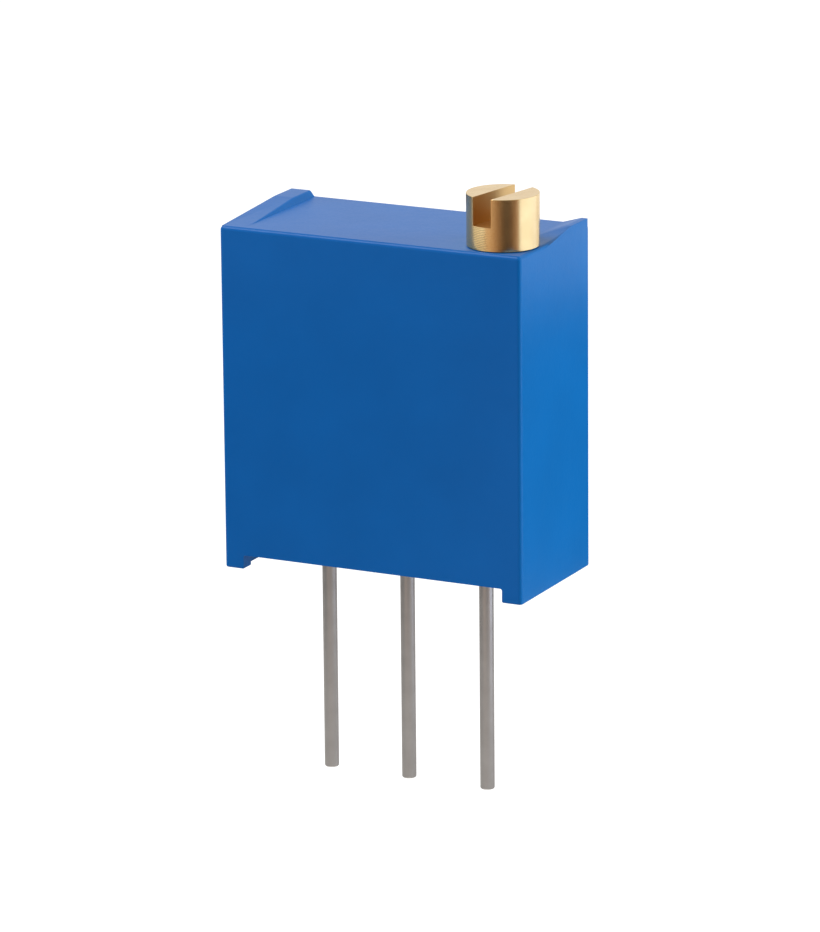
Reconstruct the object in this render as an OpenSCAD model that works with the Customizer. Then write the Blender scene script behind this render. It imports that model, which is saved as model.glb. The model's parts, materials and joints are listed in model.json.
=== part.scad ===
// Square multi-turn trimmer: a top screw drives a worm, the worm turns a toothed rotor, and the rotor
// drags a spring wiper round a printed track. Three in-line leads leave the sealed underside.
// X runs along the body towards the screw, Y from the front face to the back, Z up from the board.
// The origin is on the board's surface, on the centre lead's axis.

/* [Housing] */
// Width of the body, along the row of leads
body_width = 9.53; // [8.6:0.01:12]
// Depth of the body, from its front face to its back
body_depth = 4.6; // [4.1:0.01:6]
// Height of the flat top above the board
body_height = 10.15; // [8.45:0.01:13]
// Radius of the upright outer corners
corner_radius = 0.12; // [0.05:0.01:0.3]
// Thickness of the two side walls
side_wall = 0.42; // [0.3:0.01:0.5]
// Thickness of the front wall
front_wall = 0.45; // [0.3:0.01:0.5]
// Thickness of the back wall
back_wall = 0.45; // [0.3:0.01:0.7]
// Thickness of the roof that the screw passes through
roof = 0.9; // [0.85:0.01:1.4]
// Width of each foot
foot_width = 0.62; // [0.45:0.01:1.2]
// Height of each foot, which holds the body off the board
foot_height = 0.42; // [0.3:0.01:0.47]
// Width of the low nubs at the back corners of the top
nub_width = 0.78; // [0.5:0.01:1.2]
// Depth of those nubs, from the back face
nub_depth = 1.2; // [0.4:0.01:2]
// Height of those nubs
nub_height = 0.18; // [0.1:0.01:0.4]
// Length of the ramp that leads up to a nub from the front
nub_ramp = 3; // [0.5:0.05:3.3]
// Width of the slope on the inner side of the nub at the screw's end
nub_slope = 0.61; // [0.05:0.01:0.7]
// Width of the slope on the inner side of the other nub
nub_draft = 0.14; // [0.02:0.01:0.3]

/* [Adjustment screw] */
// Gap between the worm and the side wall beside it, which sets how near the side the screw stands
worm_to_side = 0.08; // [0.03:0.01:0.8]
// Gap between the worm and the front wall, which sets how near the front the screw stands
worm_to_front = 0.15; // [0.1:0.01:0.45]
// Diameter of the slotted head
head_diameter = 2.08; // [1.7:0.01:2.2]
// Height of the head above the top face
head_height = 1.52; // [0.9:0.01:2.4]
// Width of the screwdriver slot
slot_width = 0.62; // [0.3:0.01:0.9]
// Depth of the screwdriver slot
slot_depth = 0.82; // [0.3:0.01:0.85]
// Turn of the slot from the front-to-back direction at mid travel
slot_turn = -11; // [-90:1:90]
// Height of the lip in the roof, which the O-ring rests on and the collar snaps in under
lip_height = 0.22; // [0.15:0.01:0.35]
// Width of that lip, from its opening to the wall of the O-ring's chamber
lip_ledge = 0.1; // [0.08:0.01:0.2]
// Thickness of the O-ring's round section
ring_section = 0.29; // [0.2:0.01:0.36]
// Height that the O-ring's chamber has over and above the ring
ring_float = 0.13; // [0.06:0.01:0.3]
// How far the collar reaches past the lip's opening
collar_grip = 0.07; // [0.03:0.01:0.1]
// Height of the collar's round edge
collar_height = 0.18; // [0.1:0.01:0.4]
// Height of the cone under the collar that opens the roof as the screw is pushed in
lead_in_height = 0.24; // [0.1:0.01:0.4]
// Diameter of the plain shaft between the collar and the worm
shaft_diameter = 0.8; // [0.7:0.01:0.96]
// Diameter of the pivot at the lower end
pivot_diameter = 0.6; // [0.4:0.01:0.72]

/* [Worm drive] */
// Number of teeth on the rotor, and so screw turns to one turn of the rotor
gear_teeth = 33; // [30:1:40]
// Pitch diameter of the worm
worm_pitch_diameter = 0.96; // [0.9:0.01:1.15]
// Height of a thread or a tooth outside its pitch line
tooth_rise = 0.12; // [0.09:0.005:0.125]
// Depth of a thread or a tooth inside its pitch line
tooth_fall = 0.145; // [0.135:0.005:0.18]
// Length of the threaded stretch
worm_length = 3.6; // [2.4:0.1:4.6]
// Play on each flank between a worm thread and a rotor tooth
mesh_play = 0.06; // [0.045:0.005:0.09]
// Thickness of the rotor's toothed rim
gear_thickness = 0.95; // [0.7:0.01:1.05]
// Gap between the rotor's teeth and the roof
gear_to_roof = 0.18; // [0.05:0.01:0.6]
// Least gap between the rotor's teeth and the side wall away from the screw
gear_to_wall = 0.81; // [0.3:0.01:1.6]
// Least gap between the rotor's teeth and the base plate
gear_to_base = 0.73; // [0.5:0.01:1.6]
// Turns of the screw from one end of the travel to the other
travel_turns = 25; // [10:1:27]

/* [Rotor pivot and stop] */
// Diameter of the moulded post that the rotor turns on
post_diameter = 1.6; // [1:0.01:2]
// Diameter of the raised ring round the post that the rotor bears on
thrust_diameter = 2.5; // [2:0.01:3.2]
// Distance of the stop lug and the stop post from the bottom of the rotor's teeth
stop_inset = 0.555; // [0.2:0.005:1]
// Width of the stop lug and the stop post, along the rotor's radius
stop_width = 0.6; // [0.3:0.01:1]
// Angle of the rotor's stop lug to each side of its middle
lug_half_angle = 13.6; // [6:0.1:30]

/* [Resistive element] */
// Thickness of the alumina plate
plate_thickness = 0.64; // [0.4:0.01:0.8]
// Gap that the alumina plate leaves to the side walls
plate_side_gap = 0.14; // [0.05:0.01:0.28]
// Thickness of the printed films
film = 0.02; // [0.01:0.001:0.04]
// Distance of the middle of the resistive track from the rotor's pitch circle
track_inset = 0.7; // [0.4:0.01:1]
// Width of the resistive track
track_width = 0.7; // [0.4:0.01:1]
// Travel past the end of the resistive track, on the end conductors
track_end_overrun = 4.6; // [2:0.1:8]
// Arc of each end conductor
end_conductor_arc = 11; // [6:0.5:16]
// Radius of the collector's round contact spot
collector_radius = 0.75; // [0.4:0.01:1.1]
// Width of the conductor from the collector to its pad, and of the side conductors
conductor_width = 0.7; // [0.4:0.01:0.9]
// Width of each solder pad
pad_width = 0.9; // [0.7:0.01:1.4]
// Height of the solder pads' upper edge above the board
pad_top = 2.6; // [2.3:0.01:2.8]

/* [Wiper] */
// Thickness of the wiper's spring strip
spring_thickness = 0.1; // [0.05:0.01:0.14]
// Width of the wiper's flat frame
wiper_width = 1.8; // [1.5:0.01:2.6]
// Diameter of the two pegs of the rotor that carry the wiper
peg_diameter = 0.32; // [0.2:0.01:0.5]
// Distance between those pegs
peg_spacing = 1.16; // [0.9:0.01:1.4]
// Number of fingers on the track
finger_count = 5; // [3:1:8]
// Width of each finger
finger_width = 0.11; // [0.07:0.01:0.16]
// Space between two fingers
finger_space = 0.05; // [0.03:0.01:0.09]
// Width of the tongue on the collector
tongue_width = 0.44; // [0.25:0.01:0.6]

/* [Leads] */
// Diameter of each lead
lead_diameter = 0.42; // [0.3:0.01:0.51]
// Distance between the leads
lead_pitch = 2.54; // [2:0.01:3.3]
// Length of the leads below the board's surface
lead_length = 6.42; // [2:0.01:9]
// Chamfer at the tip of each lead
lead_chamfer = 0.05; // [0.01:0.01:0.15]
// Width of the lead's flattened inner end
blade_width = 0.46; // [0.32:0.01:0.6]
// Thickness of the lead's flattened inner end
blade_thickness = 0.3; // [0.2:0.01:0.4]
// Height of the top of the flattened end above the board
blade_top = 2.25; // [1.8:0.01:2.45]

/* [Base and seal] */
// Height of the underside of the sealing resin above the board
resin_bottom = 0.5; // [0.44:0.01:0.7]
// Thickness of the sealing resin
resin_thickness = 0.4; // [0.3:0.01:0.6]
// Thickness of the inner base plate
base_thickness = 0.6; // [0.4:0.01:0.8]
// Depth of the groove in the base plate that holds the alumina plate
plate_groove = 0.25; // [0.1:0.01:0.45]

/* [Fits] */
// Radial clearance of the turning fits
running_clearance = 0.04; // [0.02:0.005:0.06]
// Gap between pieces that are slipped together
slip_gap = 0.02; // [0.01:0.005:0.03]
// Gap between faces that pass each other
passing_gap = 0.05; // [0.03:0.01:0.08]

/* [Hidden] */
$fn = 64;

// How far a cutting shape runs past the face that it opens
cut = 1;

// Inner faces of the housing, and the plane in the front wall where its moulded post is rooted
inner_x = body_width / 2 - side_wall;
inner_front = -body_depth / 2 + front_wall;
inner_back = body_depth / 2 - back_wall;
roof_under = body_height - roof;
post_root = inner_front - front_wall / 2;

// Screw and worm
worm_pitch_radius = worm_pitch_diameter / 2;
worm_crest_radius = worm_pitch_radius + tooth_rise;
screw_x = inner_x - worm_to_side - worm_crest_radius;
screw_y = inner_front + worm_to_front + worm_crest_radius;
worm_root_radius = worm_pitch_radius - tooth_fall;
lip_radius = worm_crest_radius + passing_gap;
bore_radius = lip_radius + lip_ledge;
neck_radius = bore_radius - running_clearance;
ring_outer_radius = bore_radius - slip_gap;
ring_inner_radius = ring_outer_radius - ring_section;
chamber_floor = roof_under + lip_height;
chamber_top = chamber_floor + ring_section + ring_float;
collar_radius = lip_radius + collar_grip;
collar_top = roof_under - slip_gap;
collar_bottom = collar_top - collar_height;
head_bottom = body_height + slip_gap;
head_top = body_height + head_height;
head_bevel = 0.08;

// Rotor, on its own axis along Y. It is as large as the case leaves room for.
base_top = resin_bottom + resin_thickness + base_thickness;
gear_room_x = screw_x - worm_pitch_radius + tooth_rise + inner_x - gear_to_wall;
gear_room_z = roof_under - gear_to_roof - base_top - gear_to_base;
gear_tip_radius = min(gear_room_x, gear_room_z) / 2;
gear_pitch_radius = gear_tip_radius - tooth_rise;
gear_root_radius = gear_pitch_radius - tooth_fall;
worm_pitch = 2 * PI * gear_pitch_radius / gear_teeth;
worm_lead_angle = atan(worm_pitch / (2 * PI * worm_pitch_radius));
gear_x = screw_x - gear_pitch_radius - worm_pitch_radius;
gear_z = roof_under - gear_to_roof - gear_tip_radius;
gear_front = screw_y - gear_thickness / 2;
gear_back = screw_y + gear_thickness / 2;
half_travel = 180 * travel_turns / gear_teeth;
post_radius = post_diameter / 2;
stop_outer = gear_root_radius - stop_inset;
stop_inner = max(stop_outer - stop_width, thrust_diameter / 2 + passing_gap);
stop_end_gap = 1;
stop_half_angle = 180 - half_travel - lug_half_angle - stop_end_gap;

// Wiper, with heights measured up from the rotor's axis at mid travel
wiper_foot = -1.9;
wiper_head = 1.15;
window_bottom = -1.35;
window_top = 0.3;
peg_radius = peg_diameter / 2;
peg_drop = 1.62;
peg_rise = 2 * spring_thickness;
peg_hole_gap = slip_gap / 2;
arm_overlap = 0.1;
contact_flat = 0.08;
curl_length = 0.22;

// Flank geometry of the worm, in shares of its pitch. The thread's points go round in worm_steps.
worm_steps = 12;
crest_share = 1 / 12;
root_share = 3 / 12;
pitch_line_height = tooth_fall / (tooth_rise + tooth_fall);
thread_at_pitch = 2 * worm_pitch * (root_share - (root_share - crest_share) * pitch_line_height);
flank_slope = worm_pitch * (root_share - crest_share) / (tooth_rise + tooth_fall);
tooth_at_pitch = worm_pitch - thread_at_pitch - 2 * mesh_play;
tooth_root_overlap = 0.1;
tooth_tip_overlap = 0.05;

// Alumina plate, films and leads, from the leads' plane at y = 0
film_front = lead_diameter / 2 + slip_gap;
plate_front = film_front + film;
plate_back = plate_front + plate_thickness;
contact_y = film_front - slip_gap;
wiper_lift = contact_y - gear_back - slip_gap;
lead_radius = lead_diameter / 2;
blade_below_resin = 0.03;
blade_bottom = resin_bottom - blade_below_resin;
blade_back = film_front;
blade_front = film_front - blade_thickness;
track_radius = gear_pitch_radius - track_inset;
track_half_angle = half_travel + track_end_overrun;
end_half_angle = track_half_angle + end_conductor_arc;
end_middle_angle = (track_half_angle + end_half_angle) / 2;
foot_offset = track_radius * sin(end_middle_angle);
foot_z = gear_z + track_radius * cos(end_middle_angle);

// Base
resin_top = resin_bottom + resin_thickness;
plate_bottom = base_top - plate_groove;
plate_half_width = inner_x - plate_side_gap;
plate_top = roof_under - passing_gap;
pad_bottom = base_top;

// Solder: how thick it lies over the blade's front, beside its edges and above its end
solder_bottom = base_top + passing_gap;
solder_cover = 0.06;
solder_side = 0.05;
solder_above = 0.17;
solder_crown = blade_width / 2;

// Ribs that hold the alumina plate, and the floor under the screw's pivot
rib_bottom = base_top + slip_gap;
rib_width = 0.3;
back_rib_width = 0.5;
back_rib_x = 2.6;
pivot_floor_thickness = 0.19;
pivot_floor = resin_top + pivot_floor_thickness;
pivot_end = pivot_floor + passing_gap;
pivot_shoulder = base_top + passing_gap;
base_gap = 2 * slip_gap;

module block(x0, x1, y0, y1, z0, z1) {
    translate([x0, y0, z0]) cube([x1 - x0, y1 - y0, z1 - z0]);
}

// Places what is drawn round a local Z axis on the rotor's axis, from the plane at the given y.
// Local X stays X, and local Y points down.
module on_rotor_axis(y) {
    translate([gear_x, y, gear_z]) rotate([-90, 0, 0]) children();
}

module screw_disc(radius, z0, z1) {
    translate([screw_x, screw_y, z0]) cylinder(h = z1 - z0, r = radius);
}

// A wedge round the local Z axis, centred on a direction and open by half_angle to each side.
module wedge(direction, half_angle, radius, height) {
    reach = radius * 2;
    steps = ceil(half_angle / 45);
    points = [for (i = [-steps : steps])
        let (a = direction + i * half_angle / steps) [reach * cos(a), reach * sin(a)]];
    linear_extrude(height) polygon(concat([[0, 0]], points));
}

// A sector of a flat ring round the local Z axis.
module ring_sector(direction, half_angle, inner, outer, height) {
    intersection() {
        difference() {
            cylinder(h = height, r = outer);
            translate([0, 0, -cut]) cylinder(h = height + 2 * cut, r = inner);
        }
        wedge(direction, half_angle, outer, height);
    }
}

module rounded_column(z0, z1) {
    half_x = body_width / 2;
    half_y = body_depth / 2;
    r = corner_radius;
    block(-half_x + r, half_x - r, -half_y, half_y, z0, z1);
    block(-half_x, half_x, -half_y + r, half_y - r, z0, z1);
    for (x = [-half_x + r, half_x - r], y = [-half_y + r, half_y - r])
        translate([x, y, z0]) cylinder(h = z1 - z0, r = r);
}

// The O-ring's chamber, the opening in the lip under it, and room for the collar
module screw_bores() {
    screw_disc(bore_radius, chamber_floor, body_height + cut);
    screw_disc(lip_radius, roof_under - cut, body_height);
    screw_disc(collar_radius + running_clearance, collar_bottom - lead_in_height, roof_under);
}

// The post that the rotor turns on, the ring that it bears on, and the stop that its lug meets
module rotor_seat() {
    on_rotor_axis(post_root) {
        cylinder(h = gear_back - passing_gap - post_root, r = post_radius);
        cylinder(h = gear_front - slip_gap - post_root, r = thrust_diameter / 2);
        ring_sector(90, stop_half_angle, stop_inner, stop_outer, gear_front - passing_gap - post_root);
    }
}

// Upright ribs in front of the plate's edges and behind the plate
module guide_ribs() {
    for (side = [-1, 1]) {
        edge = side * inner_x;
        tip = side * (inner_x - rib_width);
        outer = side * (inner_x + side_wall / 2);
        block(min(outer, tip), max(outer, tip), plate_front - slip_gap - rib_width,
            plate_front - slip_gap, rib_bottom, roof_under + roof / 2);
        block(side * back_rib_x - back_rib_width / 2, side * back_rib_x + back_rib_width / 2,
            plate_back + slip_gap, inner_back + back_wall / 2, rib_bottom, roof_under + roof / 2);
    }
}

// Each nub has a ramp in front of it, which on the screw's side starts behind the screw's head.
// The inner side of each nub slopes down toward the middle of the top, wider on the screw's side.
module corner_nubs() {
    half_x = body_width / 2;
    half_y = body_depth / 2;
    front = half_y - nub_depth;
    back = half_y - corner_radius;
    low = body_height - roof / 2;
    high = body_height + nub_height;
    behind_head = screw_y + head_diameter / 2 + passing_gap;
    inner_x = half_x - nub_width;
    for (side = [-1, 1]) {
        clear_y = side > 0 ? behind_head : corner_radius - half_y;
        foot = min(front, max(front - nub_ramp, clear_y));
        slope = min(side > 0 ? nub_slope : nub_draft, nub_width - passing_gap);
        intersection() {
            translate([side > 0 ? inner_x : -half_x, 0, 0])
                rotate([90, 0, 90]) linear_extrude(nub_width)
                    polygon([[foot, low], [foot, body_height], [front, high], [back, high],
                        [back, low]]);
            translate([0, back, 0]) rotate([90, 0, 0]) linear_extrude(back - foot)
                polygon([[side * inner_x, low], [side * inner_x, body_height],
                    [side * (inner_x + slope), high], [side * half_x, high],
                    [side * half_x, low]]);
        }
    }
}

module housing() {
    step_x = body_width / 2 - foot_width;
    color("royalblue") difference() {
        union() {
            difference() {
                union() {
                    rounded_column(0, body_height);
                    corner_nubs();
                }
                block(-step_x, step_x, -body_depth, body_depth, -cut, foot_height);
                block(-inner_x, inner_x, inner_front, inner_back, -cut, roof_under);
            }
            rotor_seat();
            guide_ribs();
        }
        screw_bores();
    }
}

// Height of the thread between its root, 0, and its crest, 1, at a share of the pitch off its middle.
function thread_height(share) =
    let (off = abs(share - round(share)))
    off <= crest_share ? 1 : off >= root_share ? 0 : (root_share - off) / (root_share - crest_share);

// The thread runs out at both ends over half a pitch.
function run_out(z) = max(0, min(1, (worm_length / 2 - abs(z)) * 2 / worm_pitch));

function worm_radius(angle, z) =
    worm_root_radius + (tooth_rise + tooth_fall) * run_out(z)
        * thread_height(z / worm_pitch - (angle - 180) / 360);

// The worm: a grid of points round the screw's axis, with steps that line up along the thread.
module worm() {
    rows = ceil(worm_length / worm_pitch * worm_steps / 2);
    heights = [for (i = [-rows : rows]) i * worm_pitch / worm_steps];
    count = len(heights);
    points = [for (z = heights, j = [0 : worm_steps - 1])
        let (a = j * 360 / worm_steps, r = worm_radius(a, z)) [r * cos(a), r * sin(a), z]];
    sides = [for (i = [0 : count - 2], j = [0 : worm_steps - 1])
        let (k = (j + 1) % worm_steps, low = i * worm_steps, high = low + worm_steps)
        each [[low + j, high + k, low + k], [low + j, high + j, high + k]]];
    bottom = [for (j = [0 : worm_steps - 1]) j];
    top = [for (j = [worm_steps - 1 : -1 : 0]) (count - 1) * worm_steps + j];
    translate([screw_x, screw_y, gear_z])
        polyhedron(points = points, faces = concat(sides, [bottom], [top]));
}

module adjustment_screw() {
    worm_end = worm_length / 2;
    color("goldenrod") {
        difference() {
            union() {
                screw_disc(head_diameter / 2, head_bottom, head_top - head_bevel);
                translate([screw_x, screw_y, head_top - head_bevel])
                    cylinder(h = head_bevel, r1 = head_diameter / 2, r2 = head_diameter / 2 - head_bevel);
            }
            translate([screw_x, screw_y, head_top - slot_depth]) rotate([0, 0, slot_turn])
                translate([-slot_width / 2, -head_diameter, 0])
                    cube([slot_width, 2 * head_diameter, slot_depth + cut]);
        }
        screw_disc(neck_radius, chamber_top + slip_gap, head_bottom);
        screw_disc(ring_inner_radius, chamber_floor, head_bottom);
        screw_disc(worm_crest_radius, collar_top, chamber_floor + slip_gap);
        screw_disc(collar_radius, collar_bottom, collar_top);
        translate([screw_x, screw_y, collar_bottom - lead_in_height])
            cylinder(h = lead_in_height, r1 = shaft_diameter / 2, r2 = collar_radius);
        screw_disc(shaft_diameter / 2, gear_z + worm_end - passing_gap, collar_bottom);
        worm();
        screw_disc(shaft_diameter / 2, pivot_shoulder, gear_z - worm_end + passing_gap);
        screw_disc(pivot_diameter / 2, pivot_end, gear_z - worm_end);
    }
}

module o_ring() {
    color("dimgray")
        translate([screw_x, screw_y, (chamber_floor + chamber_top) / 2 + slip_gap])
            rotate_extrude() translate([ring_inner_radius + ring_section / 2, 0])
                circle(r = ring_section / 2);
}

// Half the width of a rotor tooth at a distance from the rotor's axis
function tooth_half_width(r) = tooth_at_pitch / 2 + (gear_pitch_radius - r) * flank_slope;

// A straight tooth along local X, turned to the slope of the worm thread
module gear_tooth() {
    foot = gear_root_radius - tooth_root_overlap;
    tip = gear_tip_radius + tooth_tip_overlap;
    rotate([-worm_lead_angle, 0, 0])
        translate([0, 0, -gear_thickness])
            linear_extrude(2 * gear_thickness)
                polygon([
                    [foot, -tooth_half_width(foot)], [tip, -tooth_half_width(tip)],
                    [tip, tooth_half_width(tip)], [foot, tooth_half_width(foot)]
                ]);
}

module rotor_gear() {
    color("ivory") on_rotor_axis(gear_front) difference() {
        union() {
            intersection() {
                for (i = [0 : gear_teeth - 1])
                    rotate([0, 0, (i + 0.5) * 360 / gear_teeth])
                        translate([0, 0, gear_thickness / 2]) gear_tooth();
                cylinder(h = gear_thickness, r = gear_tip_radius);
            }
            cylinder(h = gear_thickness, r = gear_root_radius);
            translate([0, 0, inner_front + passing_gap - gear_front])
                ring_sector(-90, lug_half_angle, stop_inner, stop_outer,
                    gear_front - inner_front - passing_gap + gear_thickness / 2);
            for (side = [-1, 1])
                translate([side * peg_spacing / 2, peg_drop, gear_thickness / 2])
                    cylinder(h = gear_thickness / 2 + peg_rise, r = peg_radius);
        }
        translate([0, 0, -cut])
            cylinder(h = gear_thickness + 2 * cut, r = post_radius + running_clearance);
    }
}

// A bent strip seen from the side: it rises from the wiper's frame at root to the film at contact,
// both measured up from the rotor's axis, and its end curls back from the film.
module spring_arm(x, width, root, contact) {
    t = spring_thickness;
    way = contact > root ? 1 : -1;
    fixed = root - way * arm_overlap;
    near = contact - way * contact_flat;
    far = contact + way * contact_flat;
    curl = contact + way * curl_length;
    points = [
        [fixed, 0], [root, 0], [near, wiper_lift - t], [curl, wiper_lift - 3 * t],
        [curl, wiper_lift - 2 * t], [far, wiper_lift], [near, wiper_lift], [root, t], [fixed, t]
    ];
    translate([gear_x + x + width / 2, gear_back + slip_gap, gear_z])
        rotate([90, 0, -90]) linear_extrude(width)
            polygon([for (p = points) [-p[1], p[0]]]);
}

// A flat frame on the rotor's pegs, with fingers to the track and a tongue to the collector
module wiper() {
    y0 = gear_back + slip_gap;
    y1 = y0 + spring_thickness;
    window_x = tongue_width / 2 + passing_gap;
    color("silver") {
        difference() {
            block(gear_x - wiper_width / 2, gear_x + wiper_width / 2, y0, y1,
                gear_z + wiper_foot, gear_z + wiper_head);
            block(gear_x - window_x, gear_x + window_x, y0 - cut, y1 + cut,
                gear_z + window_bottom, gear_z + window_top);
            for (side = [-1, 1])
                on_rotor_axis(y0 - cut) translate([side * peg_spacing / 2, peg_drop, 0])
                    cylinder(h = spring_thickness + 2 * cut, r = peg_radius + peg_hole_gap);
        }
        for (i = [0 : finger_count - 1])
            spring_arm((i - (finger_count - 1) / 2) * (finger_width + finger_space), finger_width,
                wiper_head, track_radius);
        spring_arm(0, tongue_width, window_bottom, 0);
    }
}

module substrate() {
    color("white")
        block(-plate_half_width, plate_half_width, plate_front, plate_back, plate_bottom, plate_top);
}

// The track's own outline, as a slab from the plane at the given y
module track_slab(y, thickness) {
    on_rotor_axis(y)
        ring_sector(-90, track_half_angle, track_radius - track_width / 2,
            track_radius + track_width / 2, thickness);
}

module resistive_track() {
    color("darkslategray") track_slab(film_front, film);
}

// A solder pad at x, and a printed strip that leads from it to turn_x and then straight up to end_z
module pad_and_strip(x, turn_x, end_z) {
    half = conductor_width / 2;
    top = end_z > foot_z ? [[turn_x + half, end_z], [turn_x - half, end_z]] : [];
    block(x - pad_width / 2, x + pad_width / 2, film_front, plate_front, pad_bottom, pad_top);
    translate([0, plate_front, 0]) rotate([90, 0, 0]) linear_extrude(film)
        polygon(concat(
            [[x - half, pad_bottom], [x + half, pad_bottom], [x + half, pad_top]],
            [[turn_x + half, foot_z]], top, [[turn_x - half, foot_z], [x - half, pad_top]]
        ));
}

// The wiper's tongue rests on the round spot on the rotor's axis.
module collector_conductor() {
    color("gainsboro") {
        on_rotor_axis(film_front) cylinder(h = film, r = collector_radius);
        pad_and_strip(0, gear_x, gear_z);
    }
}

// One end conductor: the arc that the track's end meets, the pad, and the strip between them
module end_conductor(side) {
    color("gainsboro") {
        on_rotor_axis(film_front)
            ring_sector(-90 + side * end_middle_angle, end_conductor_arc / 2,
                track_radius - track_width / 2, track_radius + track_width / 2, film);
        difference() {
            pad_and_strip(side * lead_pitch, gear_x + side * foot_offset, foot_z);
            track_slab(film_front - film, 3 * film);
        }
    }
}

module left_conductor() { end_conductor(-1); }

module right_conductor() { end_conductor(1); }

module blade(x, z0, z1) {
    block(x - blade_width / 2, x + blade_width / 2, blade_front, blade_back, z0, z1);
}

// A round wire with a chamfered tip, flattened where it lies on its pad
module lead(x) {
    color("lightgray") {
        translate([x, 0, -lead_length + lead_chamfer])
            cylinder(h = lead_length - lead_chamfer + blade_bottom, r = lead_radius);
        translate([x, 0, -lead_length])
            cylinder(h = lead_chamfer, r1 = lead_radius - lead_chamfer, r2 = lead_radius);
        blade(x, blade_bottom, blade_top);
    }
}

module left_lead() { lead(-lead_pitch); }

module centre_lead() { lead(0); }

module right_lead() { lead(lead_pitch); }

// A low mound of solder over the flattened end of a lead, on its pad
module solder(x) {
    shoulder_x = blade_width / 2 + solder_side;
    shoulder_y = blade_front + solder_cover / 3;
    crown_y = blade_front - solder_cover;
    color("darkgray") difference() {
        translate([x, 0, solder_bottom]) linear_extrude(blade_top + solder_above - solder_bottom)
            polygon([
                [-pad_width / 2, film_front], [-shoulder_x, shoulder_y], [-solder_crown / 2, crown_y],
                [solder_crown / 2, crown_y], [shoulder_x, shoulder_y], [pad_width / 2, film_front]
            ]);
        translate([0, cut, 0]) blade(x, solder_bottom - cut, blade_top);
        blade(x, solder_bottom - cut, blade_top);
    }
}

module left_solder() { solder(-lead_pitch); }

module centre_solder() { solder(0); }

module right_solder() { solder(lead_pitch); }

// The plate that closes the underside. The alumina plate and the screw's pivot stand in it.
module base_plate() {
    color("darkslateblue") difference() {
        block(-inner_x + base_gap, inner_x - base_gap, inner_front + base_gap, inner_back - base_gap,
            resin_top, base_top);
        block(-plate_half_width - slip_gap, plate_half_width + slip_gap, plate_front - slip_gap,
            plate_back + slip_gap, plate_bottom, base_top + cut);
        for (x = [-lead_pitch, 0, lead_pitch])
            block(x - blade_width / 2 - slip_gap, x + blade_width / 2 + slip_gap,
                blade_front - slip_gap, blade_back + slip_gap, resin_top - cut, base_top + cut);
        screw_disc(pivot_diameter / 2 + running_clearance, pivot_floor, base_top + cut);
    }
}

// Resin poured in over the base plate and round the leads
module resin_seal() {
    color("khaki") difference() {
        block(-inner_x, inner_x, inner_front, inner_back, resin_bottom, resin_top);
        for (x = [-lead_pitch, 0, lead_pitch])
            blade(x, resin_bottom - cut, resin_top + cut);
    }
}

housing();
adjustment_screw();
o_ring();
rotor_gear();
wiper();
substrate();
resistive_track();
collector_conductor();
left_conductor();
right_conductor();
left_lead();
centre_lead();
right_lead();
left_solder();
centre_solder();
right_solder();
base_plate();
resin_seal();
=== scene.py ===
import json
import math

import bmesh
import bpy
from mathutils import Matrix, Vector


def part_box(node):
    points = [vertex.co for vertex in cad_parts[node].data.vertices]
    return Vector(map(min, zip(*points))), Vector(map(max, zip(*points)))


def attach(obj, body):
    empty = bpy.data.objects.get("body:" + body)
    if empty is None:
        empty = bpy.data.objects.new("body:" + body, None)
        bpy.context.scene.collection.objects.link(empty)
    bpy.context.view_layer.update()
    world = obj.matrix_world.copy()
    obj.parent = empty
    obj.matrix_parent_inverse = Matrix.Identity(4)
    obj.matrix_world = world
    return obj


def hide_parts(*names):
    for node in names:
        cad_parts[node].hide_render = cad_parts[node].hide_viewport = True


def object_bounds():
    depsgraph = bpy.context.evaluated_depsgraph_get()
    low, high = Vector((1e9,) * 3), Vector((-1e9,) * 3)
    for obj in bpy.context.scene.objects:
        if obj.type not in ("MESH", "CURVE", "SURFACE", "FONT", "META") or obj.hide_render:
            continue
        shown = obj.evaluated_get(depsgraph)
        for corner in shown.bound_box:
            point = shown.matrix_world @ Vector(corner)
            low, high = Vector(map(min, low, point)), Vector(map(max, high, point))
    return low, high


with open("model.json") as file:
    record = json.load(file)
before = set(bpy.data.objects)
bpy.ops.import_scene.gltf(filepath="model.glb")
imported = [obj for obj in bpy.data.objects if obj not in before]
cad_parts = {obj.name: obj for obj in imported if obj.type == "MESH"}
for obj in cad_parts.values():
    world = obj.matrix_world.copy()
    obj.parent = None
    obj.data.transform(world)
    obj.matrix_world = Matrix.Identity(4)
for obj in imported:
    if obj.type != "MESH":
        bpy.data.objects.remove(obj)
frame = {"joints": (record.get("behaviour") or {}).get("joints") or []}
cad_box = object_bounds()
bpy.ops.object.select_all(action="DESELECT")

# ------------ camera
# A long lens stands to the right of the part's front and a little above it, and the
# horizon leans by half a degree.
AZIMUTH, ELEVATION, LEAN = (math.radians(a) for a in (26.589, 15.252, -0.536))
DISTANCE, AIM_HEIGHT, AIM_RIGHT, AIM_UP = 0.182616, 0.0035, 0.000108, -0.000482
forward = Vector((
    -math.sin(AZIMUTH) * math.cos(ELEVATION),
    math.cos(AZIMUTH) * math.cos(ELEVATION),
    -math.sin(ELEVATION),
))
level = Vector((math.cos(AZIMUTH), math.sin(AZIMUTH), 0))
right = level * math.cos(LEAN) + level.cross(forward) * math.sin(LEAN)
up = right.cross(forward)
aim = Vector((0, 0, AIM_HEIGHT)) + right * AIM_RIGHT + up * AIM_UP

camera = bpy.data.objects.new("camera", bpy.data.cameras.new("camera"))
camera.data.lens = 244.57
camera.data.sensor_width = 36
camera.data.clip_start = 0.001
camera.data.clip_end = 20
camera.matrix_world = Matrix((right, up, -forward)).transposed().to_4x4()
camera.location = aim - forward * DISTANCE
bpy.context.scene.collection.objects.link(camera)
bpy.context.scene.camera = camera
bpy.context.scene.view_settings.view_transform = "Standard"


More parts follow.
